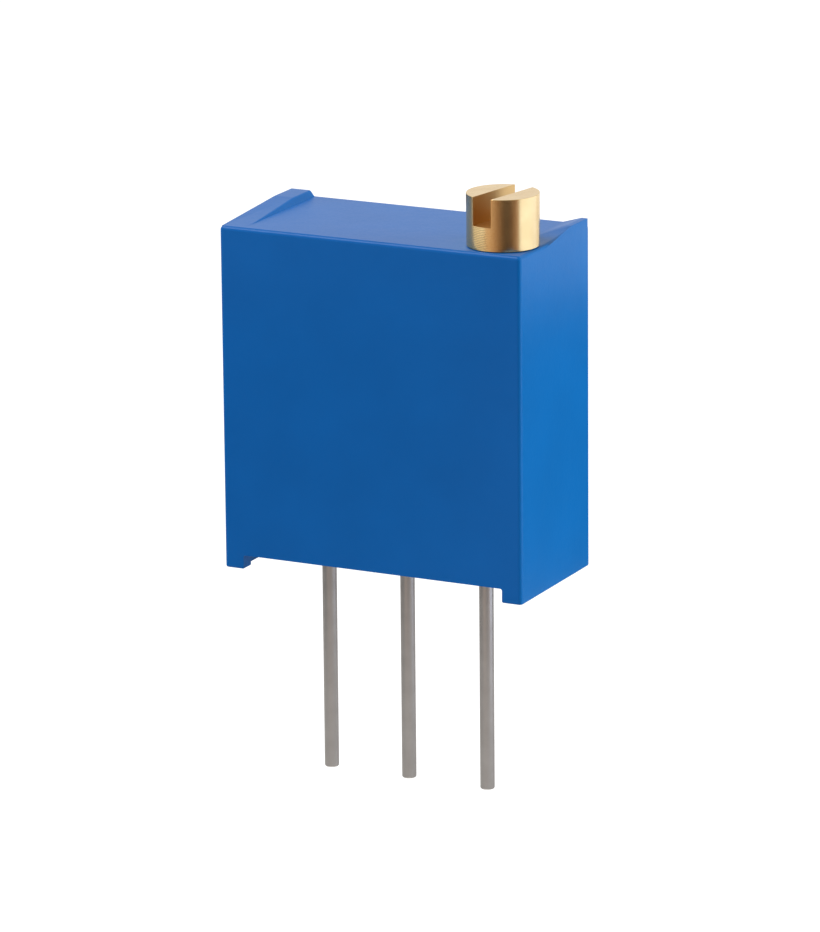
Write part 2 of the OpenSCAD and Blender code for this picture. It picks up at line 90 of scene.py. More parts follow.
# ------------ studio
# A pale floor well below the leads, a white room, three softboxes and a set of curved cards.
# The cards show only in reflections: they give the brass head its bands and the leads an
# even grey, and keep the white room out of the case's front and right side.
def add_node(tree, kind, inputs=None, **properties):
    """Adds a node with its properties and inputs. An input is a value, or a socket or node to
    link: of a node, its first output that is in use."""
    node = tree.nodes.new("ShaderNode" + kind)
    for name, value in properties.items():
        setattr(node, name, value)
    for name, value in (inputs or {}).items():
        if isinstance(value, bpy.types.Node):
            value = next(output for output in value.outputs if output.enabled)
        if isinstance(value, bpy.types.NodeSocket):
            tree.links.new(value, node.inputs[name])
        else:
            node.inputs[name].default_value = value
    return node


def new_material(name):
    """A material with an empty node tree, and its tree."""
    material = bpy.data.materials.new(name)
    material.use_nodes = True
    material.node_tree.nodes.clear()
    return material, material.node_tree


def colour(code):
    """An sRGB hex colour as linear values."""
    channels = [int(code[i:i + 2], 16) / 255 for i in (0, 2, 4)]
    return [c / 12.92 if c <= 0.04045 else ((c + 0.055) / 1.055) ** 2.4 for c in channels] + [1]


def room_glow(tree, lighting, showing):
    """Strength for white that shows to the camera and to gloss, but lights the part less."""
    path = add_node(tree, "LightPath")
    seen = path.outputs["Is Camera Ray"]
    for ray in ("Is Glossy Ray", "Is Transmission Ray"):
        seen = add_node(tree, "Math", {0: seen, 1: path.outputs[ray]}, operation="MAXIMUM")
    return add_node(tree, "MapRange", {"Value": seen, "To Min": lighting, "To Max": showing})


world = bpy.data.worlds.new("white_room")
bpy.context.scene.world = world
world.use_nodes = True
tree = world.node_tree
tree.nodes.clear()
glow = add_node(tree, "Background", {
    "Color": colour("FFFFFF"), "Strength": room_glow(tree, 0.42, 1),
})
add_node(tree, "OutputWorld", {"Surface": glow})

# White paper: matt, and a shade less bright close to the part.
FLOOR_DROP, NEAR_PART, FAR_OFF = 0.028, 0.03, 0.1
paper, tree = new_material("white_paper")
matte = add_node(tree, "BsdfDiffuse", {"Color": colour("A2A2A2")})
place = add_node(tree, "TexCoord").outputs["Object"]
away = add_node(tree, "VectorMath", {0: place}, operation="LENGTH")
showing = add_node(tree, "MapRange", {
    "Value": away, "From Min": NEAR_PART, "From Max": FAR_OFF, "To Min": 0.7, "To Max": 0.84,
})
lit = add_node(tree, "Emission", {
    "Color": colour("FFFFFF"), "Strength": room_glow(tree, 0.15, showing),
})
both = add_node(tree, "AddShader", {0: matte, 1: lit})
add_node(tree, "OutputMaterial", {"Surface": both})
bpy.ops.mesh.primitive_plane_add(size=3, location=(0, 0, cad_box[0].z - FLOOR_DROP))
floor = bpy.context.active_object
floor.name = "floor"
floor.data.materials.append(paper)


def toward(azimuth, elevation, distance):
    """A point at that distance from the part: azimuth 0 is its front, 90 its right side."""
    a, e = math.radians(azimuth), math.radians(elevation)
    return Vector((math.sin(a) * math.cos(e), -math.cos(a) * math.cos(e), math.sin(e))) * distance


def softbox(name, azimuth, elevation, distance, width, height, watts, code="FFFFFF", gloss=True):
    """A soft lamp that faces the part. Without gloss, it doesn't show in reflections."""
    data = bpy.data.lights.new(name, "AREA")
    data.shape = "RECTANGLE"
    data.size, data.size_y, data.energy = width, height, watts
    data.color = colour(code)[:3]
    lamp = bpy.data.objects.new(name, data)
    lamp.location = toward(azimuth, elevation, distance)
    lamp.rotation_euler = lamp.location.to_track_quat("Z", "Y").to_euler()
    lamp.visible_glossy = gloss
    bpy.context.scene.collection.objects.link(lamp)


softbox("side_softbox", 108, 6, 0.22, 0.14, 0.16, 0.61, "FFFFEC", gloss=False)
softbox("fill_softbox", -15, 4, 0.3, 0.2, 0.1, 0.12, gloss=False)
softbox("front_softbox", -58, 58, 0.3, 0.14, 0.14, 0.62)


def card_paint(name, strength, code="FFFFFF"):
    """A material that glows evenly, and the node that makes it glow."""
    material, tree = new_material(name)
    shine = add_node(tree, "Emission", {"Color": colour(code), "Strength": strength})
    add_node(tree, "OutputMaterial", {"Surface": shine})
    return material, shine


def take(piece):
    """Selects a piece alone and makes it the active one."""
    bpy.ops.object.select_all(action="DESELECT")
    piece.select_set(True)
    bpy.context.view_layer.objects.active = piece


def edit(piece):
    """Opens a piece for shaping, with all of it selected."""
    bpy.context.view_layer.objects.active = piece
    bpy.ops.object.mode_set(mode="EDIT")
    bpy.ops.mesh.select_all(action="SELECT")


def close():
    """Ends the shaping of the piece that is open."""
    bpy.ops.object.mode_set(mode="OBJECT")


def pick(kind, test):
    """In edit mode, selects the faces or edges whose middle and direction pass the test."""
    bpy.ops.mesh.select_mode(type=kind)
    bpy.ops.mesh.select_all(action="DESELECT")
    mesh = bmesh.from_edit_mesh(bpy.context.active_object.data)
    for item in mesh.faces if kind == "FACE" else mesh.edges:
        if kind == "FACE":
            middle, direction = item.calc_center_median(), item.normal
        else:
            first, second = (v.co for v in item.verts)
            middle, direction = (first + second) / 2, (second - first).normalized()
        if test(middle, direction):
            item.select_set(True)
    bmesh.update_edit_mesh(bpy.context.active_object.data)


def bearing_of(point):
    """A point's azimuth in degrees: 0 in front of the part, 90 at its right."""
    return math.degrees(math.atan2(point.x, -point.y))


def card(name, material, first, last, low, high, distance):
    """A curved card round the part, from one azimuth to another."""
    bpy.ops.mesh.primitive_cylinder_add(
        vertices=120, radius=distance, depth=high - low, end_fill_type="NOTHING",
        location=(0, 0, (low + high) / 2),
    )
    sheet = bpy.context.active_object
    sheet.name = name
    bpy.ops.object.transform_apply(location=True, rotation=True, scale=True)
    edit(sheet)
    pick("FACE", lambda middle, normal: not any(
        first <= bearing_of(middle) + whole <= last for whole in (-360, 0, 360)
    ))
    bpy.ops.mesh.delete(type="FACE")
    close()
    sheet.data.materials.append(material)
    sheet.visible_camera = sheet.visible_diffuse = sheet.visible_shadow = False


# The brown card is dark and warm in its middle, and brightens and pales towards its ends.
BROWN_MIDDLE, BROWN_FADE = math.radians(39), math.radians(74)
brown_paint, shine = card_paint("brown_card", 1)
tree = brown_paint.node_tree
spot = add_node(tree, "SeparateXYZ", {0: add_node(tree, "TexCoord").outputs["Object"]})
ahead = add_node(tree, "Math", {0: spot.outputs["Y"], 1: -1}, operation="MULTIPLY")
bearing = add_node(tree, "Math", {0: spot.outputs["X"], 1: ahead}, operation="ARCTAN2")
offset = add_node(tree, "Math", {0: bearing, 1: BROWN_MIDDLE}, operation="SUBTRACT")
apart = add_node(tree, "Math", {0: offset}, operation="ABSOLUTE")
fade = add_node(tree, "MapRange", {
    "Value": apart, "From Max": BROWN_FADE, "To Min": 0.055, "To Max": 0.95,
}, interpolation_type="SMOOTHSTEP")
warmth = add_node(tree, "Mix", {
    0: fade, 6: colour("FFB983"), 7: colour("FFE8D6"),
}, data_type="RGBA")
tree.links.new(fade.outputs["Result"], shine.inputs["Strength"])
tree.links.new(warmth.outputs[2], shine.inputs["Color"])

FAR, NEAR = 0.07, 0.02
FOOT, LEADS_TOP, FEET_TOP, LEFT_TOP, TOP = -0.033, -0.0055, 0.0045, 0.004, 0.014
black_paint = card_paint("black_card", 0.02)[0]
card("front_card", brown_paint, -31, 78, FOOT, TOP, FAR)
card("right_card", card_paint("white_card", 2.05, "DCE8FF")[0], 78, 150, FOOT, TOP, FAR)
card("left_card", card_paint("dark_card", 0.08)[0], -165, -82, FOOT, LEFT_TOP, FAR)
card("low_front_card", black_paint, -75, -15, LEADS_TOP, FEET_TOP, NEAR)
card("low_right_card", black_paint, 120, 205, LEADS_TOP, FEET_TOP, NEAR)
card("lead_card", card_paint("grey_card", 0.56)[0], -180, 180, FOOT, LEADS_TOP, NEAR)


# ------------ housing
# The case is one box of blue PBT, injection moulded and open underneath. The mould leaves
# its outer edges rounded and its faces satin. It stands on a foot at each end, and two low
# nubs rise at its back corners. The post that the rotor turns on is moulded inside.
def mm(node):
    """A CAD node's lowest and highest corner, in millimetres."""
    low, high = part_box(node)
    return low * 1000, high * 1000


def settled():
    """Gives the new primitive its place in its mesh."""
    bpy.ops.object.transform_apply(location=True, rotation=True, scale=True)
    return bpy.context.active_object


def block(low, high):
    """A box between two corners, in millimetres like every piece until it is finished."""
    bpy.ops.object.select_all(action="DESELECT")
    low, high = Vector(low), Vector(high)
    bpy.ops.mesh.primitive_cube_add(size=1, location=(low + high) / 2, scale=high - low)
    return settled()


def drum(radius, x, y, z, sides=96):
    """A round bar. It runs along y or z, whichever is given as a start and an end."""
    bpy.ops.object.select_all(action="DESELECT")
    upright = isinstance(z, tuple)
    start, end = (Vector((x, y, end) if upright else (x, end, z)) for end in (z if upright else y))
    bpy.ops.mesh.primitive_cylinder_add(
        vertices=sides, radius=radius, depth=(end - start).length, location=(start + end) / 2,
        rotation=(0, 0, 0) if upright else (math.pi / 2, 0, 0),
    )
    return settled()


def round_edges(piece, width, segments, test):
    """Rounds the edges of a piece that pass the test."""
    edit(piece)
    pick("EDGE", test)
    bpy.ops.mesh.bevel(offset=width, segments=segments, profile=0.5, affect="EDGES")
    close()


def slice_off(piece, point, way):
    """Cuts a piece along a plane, drops what lies on that way's side and closes the cut."""
    edit(piece)
    bpy.ops.mesh.bisect(plane_co=point, plane_no=way, use_fill=True, clear_outer=True)
    close()


def modify(piece, kind, **settings):
    """Adds a modifier to a piece and applies it."""
    bpy.context.view_layer.objects.active = piece
    bpy.ops.object.modifier_add(type=kind)
    modifier = piece.modifiers[-1]
    for name, value in settings.items():
        setattr(modifier, name, value)
    bpy.ops.object.modifier_apply(modifier=modifier.name)


def combine(piece, operation, *tools):
    """Joins tool solids to a piece, or cuts them away, and removes them."""
    for tool in tools:
        modify(piece, "BOOLEAN", operation=operation, solver="EXACT", object=tool)
        bpy.data.objects.remove(tool)


def extrude(step):
    """Pulls the selected points, edges or faces out of a piece by the step."""
    bpy.ops.mesh.extrude_region_move(TRANSFORM_OT_translate={"value": step})


def draw(points):
    """A new object with one line through the points, open for shaping and all selected."""
    bpy.ops.object.select_all(action="DESELECT")
    bpy.ops.mesh.primitive_plane_add(size=1, location=points[0])
    line = settled()
    edit(line)
    bpy.ops.mesh.select_mode(type="VERT")
    bpy.ops.mesh.merge(type="CENTER")
    for here, there in zip(points, points[1:]):
        extrude(Vector(there) - Vector(here))
    bpy.ops.mesh.select_all(action="SELECT")
    return line


def slab(points, step):
    """A flat plate: draws its outline and thickens it by the step."""
    plate = draw(points)
    bpy.ops.mesh.edge_face_add()
    extrude(step)
    bpy.ops.mesh.select_all(action="SELECT")
    bpy.ops.mesh.normals_make_consistent(inside=False)
    close()
    return plate


def finish_piece(piece, name, body, slot, material, *nodes, crease=30):
    """Shades a piece, brings it to metres, and gives it its finish and body. Its slot is not used.
    """
    piece.name = name
    take(piece)
    edit(piece)
    bpy.ops.mesh.remove_doubles(threshold=1e-4)
    close()
    bpy.ops.object.shade_smooth_by_angle(angle=math.radians(crease))
    modify(piece, "WEIGHTED_NORMAL", keep_sharp=True)
    piece.scale = (0.001, 0.001, 0.001)
    bpy.ops.object.transform_apply(location=False, rotation=False, scale=True)
    piece.data.materials.clear()
    piece.data.materials.append(material)
    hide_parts(*nodes)
    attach(piece, body)


# Room between pieces that slide and between those that turn, how near an edge or face has to
# be to its place and its direction to be picked, and how far a tool reaches past what it cuts.
SLIP, PLAY, NEARLY, MOSTLY, PAST = 0.02, 0.05, 0.01, 0.9, 1
half_x, half_y, crest = mm("housing")[1]
joints = {joint["name"]: Vector(joint["pos_m"]) * 1000 for joint in frame["joints"]}
screw_axis, rotor_axis = joints["screw_turn"], joints["rotor_turn"]
SIDE_WALL, END_WALL, ROOF = 0.42, 0.45, 0.9
FOOT_WIDTH, FOOT_HEIGHT = 0.62, 0.42
EDGE_RADIUS, FOOT_RADIUS, NUB_RADIUS, INNER_RADIUS, POST_EDGE = 0.12, 0.05, 0.04, 0.1, 0.06
NUB_HEIGHT, NUB_WIDTH, NUB_DEPTH, NUB_RAMP = 0.18, 0.78, 1.2, 3.0
NUB_SLOPE, NUB_DRAFT = 0.61, 0.14
HEAD_RADIUS = 1.04
top = crest - NUB_HEIGHT
inner_x, inner_y, roof_under = half_x - SIDE_WALL, half_y - END_WALL, top - ROOF
foot_x = half_x - FOOT_WIDTH

housing = block((-half_x, -half_y, FOOT_HEIGHT), (half_x, half_y, top))
edit(housing)
for x in (-foot_x, foot_x):
    pick("FACE", lambda middle, normal: normal.z < -MOSTLY)
    bpy.ops.mesh.bisect(plane_co=(x, 0, 0), plane_no=(1, 0, 0))
pick("FACE", lambda middle, normal: normal.z < -MOSTLY and abs(middle.x) > foot_x)
extrude((0, 0, -FOOT_HEIGHT))
close()
round_edges(
    housing, EDGE_RADIUS, 5,
    lambda middle, along: middle.z > top - NEARLY
    or (abs(along.z) > MOSTLY and abs(middle.x) > foot_x + EDGE_RADIUS),
)
round_edges(
    housing, FOOT_RADIUS, 2,
    lambda middle, along: middle.z < NEARLY or (
        abs(along.z) < 1 - MOSTLY and abs(along.y) > MOSTLY
        and abs(middle.z - FOOT_HEIGHT) < NEARLY
    ),
)

# Each nub is drawn from the side, with a ramp that starts inside the rounded edge, and its
# inner side is sliced to a slope. The right one's ramp is short, to clear the screw's head.
front, back = half_y - NUB_DEPTH, half_y - EDGE_RADIUS
seat = top - ROOF / 2
for side, slope, clear_y in (
    (-1, NUB_DRAFT, EDGE_RADIUS - half_y), (1, NUB_SLOPE, screw_axis.y + HEAD_RADIUS + PLAY),
):
    foot = min(front, max(front - NUB_RAMP, clear_y))
    steepness = NUB_HEIGHT / (front - foot)
    sunk = max(foot - (EDGE_RADIUS + SLIP) / steepness, EDGE_RADIUS - half_y + PLAY)
    sunk_z = top - (foot - sunk) * steepness
    profile = ((sunk, seat), (sunk, sunk_z), (front, crest), (back, crest), (back, seat))
    nub = slab([(side * half_x, y, z) for y, z in profile], (-side * NUB_WIDTH, 0, 0))
    slice_off(nub, (side * (half_x - NUB_WIDTH), 0, top), (-side * NUB_HEIGHT, 0, slope))
    round_edges(
        nub, NUB_RADIUS, 3,
        lambda middle, along: middle.z > top + SLIP and (middle.z > crest - NEARLY or side < 0),
    )
    combine(housing, "UNION", nub)

cavity = block((-inner_x, -inner_y, -PAST), (inner_x, inner_y, roof_under))
round_edges(cavity, INNER_RADIUS, 3, lambda middle, along: middle.z > NEARLY - PAST)
combine(housing, "DIFFERENCE", cavity)

POST_RADIUS, THRUST_RADIUS, STOP_INNER, STOP_OUTER, STOP_HALF_ANGLE = 0.8, 1.25, 2.0, 2.6, 29.04
GEAR_THICKNESS = 0.95
gear_front = screw_axis.y - GEAR_THICKNESS / 2
gear_back = screw_axis.y + GEAR_THICKNESS / 2


def outline(points, y, depth):
    """A flat plate from its outline of (x, z) points in the plane y."""
    return slab([(x, y, z) for x, z in points], (0, depth, 0))


def sector(inner, outer, middle, half, y, depth):
    """Part of a flat ring round the rotor's axis. Angle 0 is straight up, 90 is the right."""
    steps = max(6, round(half))
    turn = [math.radians(middle - half + i * 2 * half / steps) for i in range(steps + 1)]
    rim = [(outer, a) for a in turn] + [(inner, a) for a in reversed(turn)]
    return outline(
        [(rotor_axis.x + r * math.sin(a), rotor_axis.z + r * math.cos(a)) for r, a in rim],
        y, depth,
    )


wall_middle = -inner_y - END_WALL / 2
post = drum(POST_RADIUS, rotor_axis.x, (wall_middle, gear_back - PLAY), rotor_axis.z)
round_edges(post, POST_EDGE, 2, lambda middle, along: middle.y > gear_back - 2 * PLAY)
thrust_ring = drum(THRUST_RADIUS, rotor_axis.x, (wall_middle, gear_front - SLIP), rotor_axis.z)
stop = sector(
    STOP_INNER, STOP_OUTER, 180, STOP_HALF_ANGLE, wall_middle, gear_front - PLAY - wall_middle
)
plate_low, plate_high = mm("substrate")
RIB, BACK_RIB, BACK_RIB_X = 0.3, 0.5, 2.6
rib_foot, rib_head = mm("base_plate")[1].z + SLIP, roof_under + ROOF / 2
ribs = []
for side in (-1, 1):
    edge = sorted((side * (inner_x + SIDE_WALL / 2), side * (inner_x - RIB)))
    ribs.append(block(
        (edge[0], plate_low.y - SLIP - RIB, rib_foot), (edge[1], plate_low.y - SLIP, rib_head)
    ))
    ribs.append(block(
        (side * BACK_RIB_X - BACK_RIB / 2, plate_high.y + SLIP, rib_foot),
        (side * BACK_RIB_X + BACK_RIB / 2, inner_y + END_WALL / 2, rib_head),
    ))
combine(housing, "UNION", post, thrust_ring, stop, *ribs)

BORE_RADIUS, LIP_RADIUS, LIP_HEIGHT, COLLAR_ROOM, COLLAR_DROP = 0.75, 0.65, 0.22, 0.76, 0.44


def up_screw(radius, start, end, sides=96):
    """A round bar on the screw's axis."""
    return drum(radius, screw_axis.x, screw_axis.y, (start, end), sides)


combine(
    housing, "DIFFERENCE",
    up_screw(BORE_RADIUS, roof_under + LIP_HEIGHT, top + PAST),
    up_screw(LIP_RADIUS, roof_under - PAST, top + PAST),
    up_screw(COLLAR_ROOM, roof_under - COLLAR_DROP, roof_under),
)


def piece_material(name):
    """A material for a piece, its tree, and the place on the piece in metres."""
    material, tree = new_material(name)
    return material, tree, add_node(tree, "TexCoord").outputs["Object"]


# PBT from a polished, slightly grained mould: even deep blue, a satin skin with a faint
# orange peel, and cloudier colour over a few millimetres. As in every finish here, the scale
# of a pattern is 1 over its real size in metres.
moulded_pbt, tree, place = piece_material("moulded_pbt")
clouds = add_node(tree, "TexNoise", {"Vector": place, "Scale": 1 / 0.0025, "Detail": 3})
tone = add_node(tree, "Mix", {
    0: clouds, 6: colour("035AA4"), 7: colour("0464B4"),
}, data_type="RGBA")
peel = add_node(tree, "TexNoise", {"Vector": place, "Scale": 1 / 0.0006, "Detail": 2})
grain = add_node(tree, "TexNoise", {"Vector": place, "Scale": 1 / 0.00009, "Detail": 2})
skin = add_node(tree, "Math", {0: peel, 1: 3.0, 2: grain}, operation="MULTIPLY_ADD")
relief = add_node(tree, "Bump", {"Height": skin, "Distance": 3e-6, "Strength": 0.6})
gloss = add_node(tree, "MapRange", {"Value": grain, "To Min": 0.28, "To Max": 0.36})
shader = add_node(tree, "BsdfPrincipled", {
    "Base Color": tone, "Roughness": gloss, "IOR": 1.5, "Specular IOR Level": 0.12,
    "Normal": relief,
})
add_node(tree, "OutputMaterial", {"Surface": shader})
finish_piece(housing, "housing_case", "root", "housing_pbt", moulded_pbt, "housing")


# ------------ rotor
# The wheel that the screw drives: one piece of natural acetal, injection moulded, with 33
# slanted teeth round its rim, a stop lug on its front and two pegs on its back. It slips
# over the post of the housing.
TEETH, TIP_RADIUS, PITCH_RADIUS, ROOT_RADIUS = 33, 3.42, 3.3, 3.155
ROOT_FILLET, TIP_CHAMFER = 0.03, 0.025
WORM_PITCH = 2 * math.pi * PITCH_RADIUS / TEETH
WORM_PITCH_RADIUS, FLANK_SLOPE, TOOTH_AT_PITCH = 0.48, 0.3952, 0.3088
LEAD_ANGLE = math.atan(WORM_PITCH / (2 * math.pi * WORM_PITCH_RADIUS))
LUG_HALF_ANGLE, LUG_EDGE, PEG_EDGE = 13.6, 0.04, 0.06
PEG_RADIUS, PEG_SPACING, PEG_DROP, PEG_RISE = 0.16, 1.16, 1.62, 0.2


def half_tooth(radius):
    """Half of a tooth's thickness at that radius."""
    return TOOTH_AT_PITCH / 2 + (PITCH_RADIUS - radius) * FLANK_SLOPE


profile = [
    (radius, (half_tooth(radius) - inset) / radius)
    for radius, inset in (
        (ROOT_RADIUS, -ROOT_FILLET), (ROOT_RADIUS + ROOT_FILLET, 0), (PITCH_RADIUS, 0),
        (TIP_RADIUS - TIP_CHAMFER, 0), (TIP_RADIUS, TIP_CHAMFER),
    )
]
rim = []
for i in range(TEETH):
    turn = (i + 0.5) * 2 * math.pi / TEETH
    flanks = [(r, turn - a) for r, a in profile] + [(r, turn + a) for r, a in reversed(profile)]
    rim += [(rotor_axis.x + r * math.cos(a), rotor_axis.z + r * math.sin(a)) for r, a in flanks]
rotor = outline(rim, gear_front, GEAR_THICKNESS)
edit(rotor)
slant = math.atan(GEAR_THICKNESS / 2 * math.tan(LEAD_ANGLE) / PITCH_RADIUS)
for face_y, way in ((gear_front, -1), (gear_back, 1)):
    pick("FACE", lambda middle, normal: abs(normal.y) > MOSTLY and abs(middle.y - face_y) < NEARLY)
    bpy.ops.transform.rotate(
        value=-way * slant, orient_axis="Y", center_override=tuple(rotor_axis)
    )
close()
lug_front = mm("rotor_gear")[0].y
lug = sector(STOP_INNER, STOP_OUTER, 0, LUG_HALF_ANGLE, lug_front, screw_axis.y - lug_front)
round_edges(lug, LUG_EDGE, 2, lambda middle, along: middle.y < lug_front + NEARLY)


def copy_at(piece, x):
    """A copy of a piece, with its own mesh, moved sideways by x."""
    take(piece)
    bpy.ops.object.duplicate()
    bpy.ops.transform.translate(value=(x, 0, 0))
    return settled()


peg_x, peg_z = rotor_axis.x - PEG_SPACING / 2, rotor_axis.z - PEG_DROP
peg_end = gear_back + PEG_RISE
peg = drum(PEG_RADIUS, peg_x, (screw_axis.y, peg_end), peg_z, 32)
round_edges(peg, PEG_EDGE, 3, lambda middle, along: middle.y > peg_end - NEARLY)
combine(rotor, "UNION", lug, copy_at(peg, PEG_SPACING), peg)
bore_radius = POST_RADIUS + 2 * SLIP
bore = drum(bore_radius, rotor_axis.x, (gear_front - PAST, gear_back + PAST), rotor_axis.z)
combine(rotor, "DIFFERENCE", bore)

# Natural acetal, moulded: milky white that lets a little light in, with a waxy sheen.
moulded_acetal, tree, place = piece_material("moulded_acetal")
flow = add_node(tree, "TexNoise", {"Vector": place, "Scale": 1 / 0.0018, "Detail": 4})
tone = add_node(tree, "Mix", {0: flow, 6: colour("E3DDCB"), 7: colour("EFEBDF")}, data_type="RGBA")
grain = add_node(tree, "TexNoise", {"Vector": place, "Scale": 1 / 0.00007, "Detail": 2})
gloss = add_node(tree, "MapRange", {"Value": grain, "To Min": 0.28, "To Max": 0.42})
relief = add_node(tree, "Bump", {"Height": grain, "Distance": 2e-6, "Strength": 0.5})
shader = add_node(tree, "BsdfPrincipled", {
    "Base Color": tone, "Roughness": gloss, "IOR": 1.48, "Subsurface Weight": 0.25,
    "Subsurface Radius": (1, 0.9, 0.7), "Subsurface Scale": 0.0003, "Normal": relief,
})
add_node(tree, "OutputMaterial", {"Surface": shader})
finish_piece(rotor, "rotor_wheel", "rotor", "natural_acetal", moulded_acetal, "rotor_gear")


# ------------ wiper
# The sliding contact, stamped and bent from one strip of palladium alloy: a flat frame on
# the rotor's pegs, five fingers that spring against the track, and a tongue that presses
# on the collector at the rotor's axis.
SPRING, FRAME_WIDTH, FRAME_FOOT, FRAME_HEAD = 0.1, 1.8, -1.9, 1.15
WINDOW_BOTTOM, WINDOW_TOP, TRACK_RADIUS, LEAD_RADIUS = -1.35, 0.3, 2.6, 0.21
FINGERS, FINGER_WIDTH, FINGER_SPACE, TONGUE_WIDTH, FRAME_CORNER = 5, 0.11, 0.05, 0.44, 0.12
wiper_front = gear_back + SLIP
lift = LEAD_RADIUS - wiper_front  # the arms bend back to the level of the leads' backs

wiper = block(
    (rotor_axis.x - FRAME_WIDTH / 2, wiper_front, rotor_axis.z + FRAME_FOOT),
    (rotor_axis.x + FRAME_WIDTH / 2, wiper_front + SPRING, rotor_axis.z + FRAME_HEAD),
)
round_edges(wiper, FRAME_CORNER, 4, lambda middle, along: abs(along.y) > MOSTLY)
window_x = TONGUE_WIDTH / 2 + PLAY
window = block(
    (rotor_axis.x - window_x, wiper_front - PAST, rotor_axis.z + WINDOW_BOTTOM),
    (rotor_axis.x + window_x, wiper_front + PAST, rotor_axis.z + WINDOW_TOP),
)
hole = drum(PEG_RADIUS + SLIP / 2, peg_x, (wiper_front - PAST, wiper_front + PAST), peg_z, 32)
combine(wiper, "DIFFERENCE", window, copy_at(hole, PEG_SPACING), hole)


def spring_arm(width, root, contact):
    """A bent strip: drawn from the side, widened, and given its thickness."""
    half = SPRING / 2
    reach = contact - root
    path = [(root - 0.08, half), (root, half)]
    for i in range(1, 9):
        share = i / 9
        bend = share * share * (3 - 2 * share) * 0.35 + share * 0.65
        path.append((root + reach * share * 0.97, half + (lift - SPRING) * bend))
    for past, drop in ((0, 0), (0.06, 0.01), (0.13, 0.07), (0.18, 0.15)):
        path.append((contact + past, lift - half - drop))
    x = rotor_axis.x - width / 2
    arm = draw([(x, wiper_front + y, rotor_axis.z + z) for z, y in path])
    extrude((width, 0, 0))
    close()
    modify(arm, "SOLIDIFY", thickness=SPRING, offset=0)
    return arm


finger = spring_arm(FINGER_WIDTH, FRAME_HEAD, TRACK_RADIUS)
fingers = [
    copy_at(finger, side * step * (FINGER_WIDTH + FINGER_SPACE))
    for side in (-1, 1) for step in range(1, FINGERS // 2 + 1)
]
tongue = spring_arm(TONGUE_WIDTH, WINDOW_BOTTOM, 0)
bpy.ops.object.select_all(action="DESELECT")
for piece in (finger, *fingers, tongue, wiper):
    piece.select_set(True)
bpy.context.view_layer.objects.active = wiper
bpy.ops.object.join()

# Rolled palladium alloy strip: pale warm silver with fine rolling lines along its length.
rolled_alloy, tree, place = piece_material("rolled_contact_alloy")
lengthways = add_node(tree, "Mapping", {"Vector": place, "Scale": (1, 1, 0.04)})
lines = add_node(tree, "TexNoise", {"Vector": lengthways, "Scale": 1 / 0.00003, "Detail": 3})
tone = add_node(tree, "Mix", {
    0: lines, 6: colour("B9B3A6"), 7: colour("D8D3C8"),
}, data_type="RGBA")
gloss = add_node(tree, "MapRange", {"Value": lines, "To Min": 0.2, "To Max": 0.36})
relief = add_node(tree, "Bump", {"Height": lines, "Distance": 1e-6, "Strength": 0.5})
shader = add_node(tree, "BsdfPrincipled", {
    "Base Color": tone, "Metallic": 1.0, "Roughness": gloss, "Normal": relief,
})
add_node(tree, "OutputMaterial", {"Surface": shader})
finish_piece(wiper, "wiper_spring", "rotor", "contact_alloy", rolled_alloy, "wiper")


# ------------ O-ring
# The seal of the screw: a small ring of red silicone rubber, moulded, with the thin flash
# line that its mould leaves. It sits in the groove of the neck and rubs in the bore.
ring_low, ring_high = mm("o_ring")
ring_section = (ring_high.z - ring_low.z) / 2
ring_radius = (ring_high.x - ring_low.x) / 2 - ring_section
ring_height = (ring_high.z + ring_low.z) / 2


def turned(profile, steps=96):
    """A solid turned round the screw's axis from a profile of (radius, height) points."""
    piece = draw([(screw_axis.x + radius, screw_axis.y, height) for radius, height in profile])
    bpy.ops.mesh.spin(
        steps=steps, angle=2 * math.pi, center=(screw_axis.x, screw_axis.y, 0), axis=(0, 0, 1)
    )
    bpy.ops.mesh.select_all(action="SELECT")
    bpy.ops.mesh.remove_doubles(threshold=1e-5)
    bpy.ops.mesh.normals_make_consistent(inside=False)
    close()
    return piece


FLASH, SIDES = 0.006, 32
section = []
for i in range(SIDES + 1):
    turn = 2 * math.pi * i / SIDES
    r = ring_section - (0 if i % (SIDES // 2) == 0 else FLASH)
    section.append((ring_radius + r * math.cos(turn), ring_height + r * math.sin(turn)))
o_ring = turned(section, 72)

# Silicone rubber, moulded: dull brick red with a soft, slightly dusty bloom.
moulded_silicone, tree, place = piece_material("moulded_silicone")
dust = add_node(tree, "TexNoise", {"Vector": place, "Scale": 1 / 0.0002, "Detail": 5})
tone = add_node(tree, "Mix", {0: dust, 6: colour("98402A"), 7: colour("B4563C")}, data_type="RGBA")
gloss = add_node(tree, "MapRange", {"Value": dust, "To Min": 0.5, "To Max": 0.7})
relief = add_node(tree, "Bump", {"Height": dust, "Distance": 4e-6, "Strength": 0.5})
shader = add_node(tree, "BsdfPrincipled", {
    "Base Color": tone, "Roughness": gloss, "IOR": 1.41, "Sheen Weight": 0.1, "Normal": relief,
})
add_node(tree, "OutputMaterial", {"Surface": shader})
finish_piece(o_ring, "o_ring_seal", "adjuster", "silicone_rubber", moulded_silicone, "o_ring")


